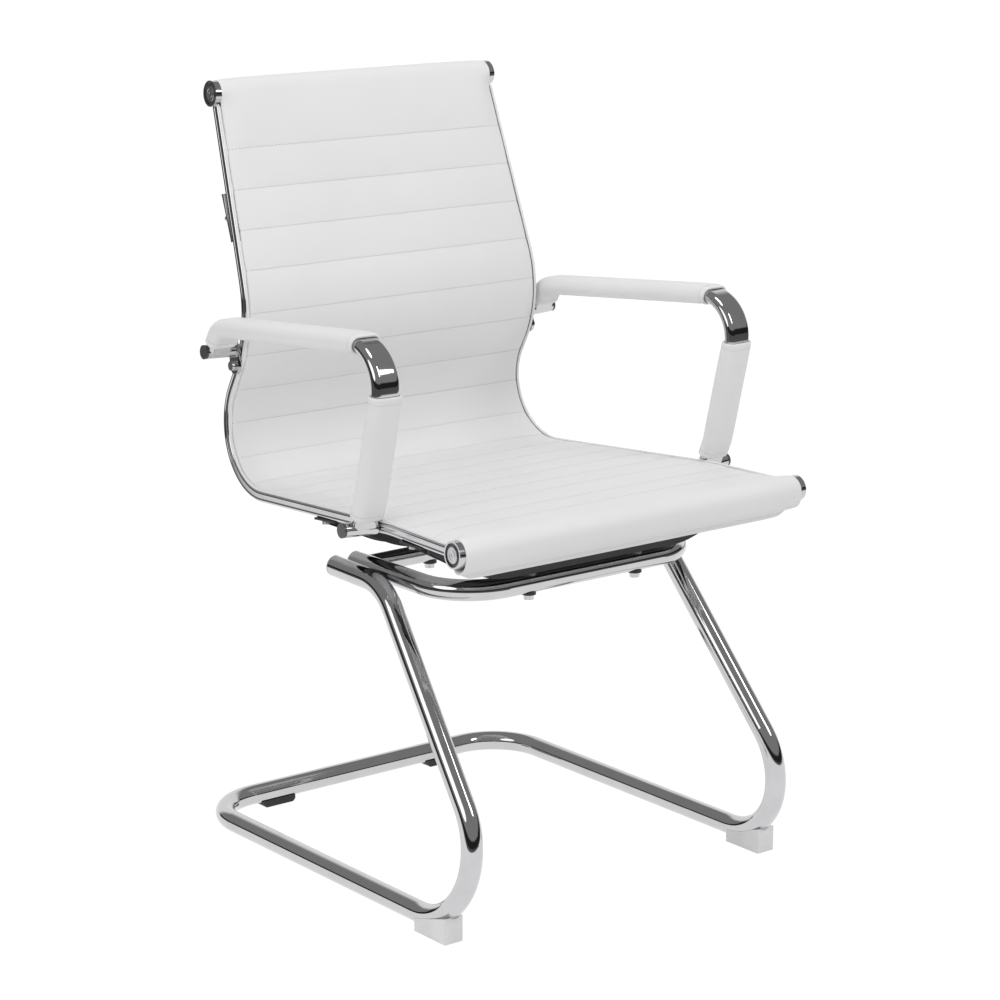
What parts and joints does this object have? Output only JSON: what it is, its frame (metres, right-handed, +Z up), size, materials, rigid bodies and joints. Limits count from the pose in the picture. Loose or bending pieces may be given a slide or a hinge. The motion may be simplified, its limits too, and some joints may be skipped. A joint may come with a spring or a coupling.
{
  "type": "cantilever chair",
  "caption": "Cantilever visitor chair with a white sewn sling, bright side rails, a bent tube base and padded oval arms.",
  "frame": {"origin": "on the floor, under the middle of the box round the whole chair", "axes": "+Z up, -Y the way the sitter faces, +X the sitter's left"},
  "size_m": [0.575, 0.5674, 0.9184],
  "materials": {
    "rail_chrome": "polished chrome plate on extruded aluminium",
    "cross_tube_chrome": "polished chrome plate on steel",
    "plug_metal": "plain machined metal",
    "turned_chrome": "turned rings under chrome plate",
    "dark_ring": "dark grey, satin",
    "sling_cover": "white fine-grained leatherette, satin",
    "piping_cover": "white leatherette over a soft cord, satin",
    "brace_chrome": "polished chrome plate on pressed steel",
    "black_steel": "black, semi-gloss",
    "screw_steel": "zinc-bright steel",
    "frame_chrome": "polished chrome plate on steel tube",
    "bolt_steel": "bright steel",
    "black_washer": "black, satin",
    "spacer_grey": "dark grey, matt",
    "cap_plastic": "light grey, satin",
    "foot_plastic": "white, satin",
    "glide_plastic": "black, matt",
    "arm_chrome": "polished chrome plate on flat oval steel tube",
    "sleeve_cover": "white leatherette over thin foam, satin",
    "dark_cap": "dark grey, satin"
  },
  "bodies": {
    "root": {"side_rail_left": "rail_chrome", "side_rail_right": "rail_chrome", "top_cross_tube": "cross_tube_chrome", "front_cross_tube": "cross_tube_chrome", "cross_tube_plugs": "plug_metal", "rail_end_screws": "turned_chrome", "boss_rings": "dark_ring", "sling_pad": "sling_cover", "edge_piping_left": "piping_cover", "edge_piping_right": "piping_cover", "back_brace": "brace_chrome", "brace_screws": "screw_steel", "front_seat_spreader": "black_steel", "rear_seat_spreader": "black_steel", "spreader_screws": "screw_steel", "seat_frame": "frame_chrome", "rear_crossbar": "frame_chrome", "frame_bolts": "bolt_steel", "frame_saddles": "black_washer", "frame_spacers": "spacer_grey", "frame_nuts": "bolt_steel", "base_frame": "frame_chrome", "leg_end_caps": "cap_plastic", "frame_end_caps": "cap_plastic", "front_foot_left": "foot_plastic", "front_foot_right": "foot_plastic", "rear_glides": "glide_plastic", "foot_screws": "screw_steel", "glide_screws": "screw_steel", "arm_frame_left": "arm_chrome", "arm_frame_right": "arm_chrome", "arm_top_sleeve_left": "sleeve_cover", "arm_top_sleeve_right": "sleeve_cover", "arm_post_sleeve_left": "sleeve_cover", "arm_post_sleeve_right": "sleeve_cover", "arm_bolts": "bolt_steel", "arm_bolt_caps": "dark_cap"}
  },
  "joints": []
}
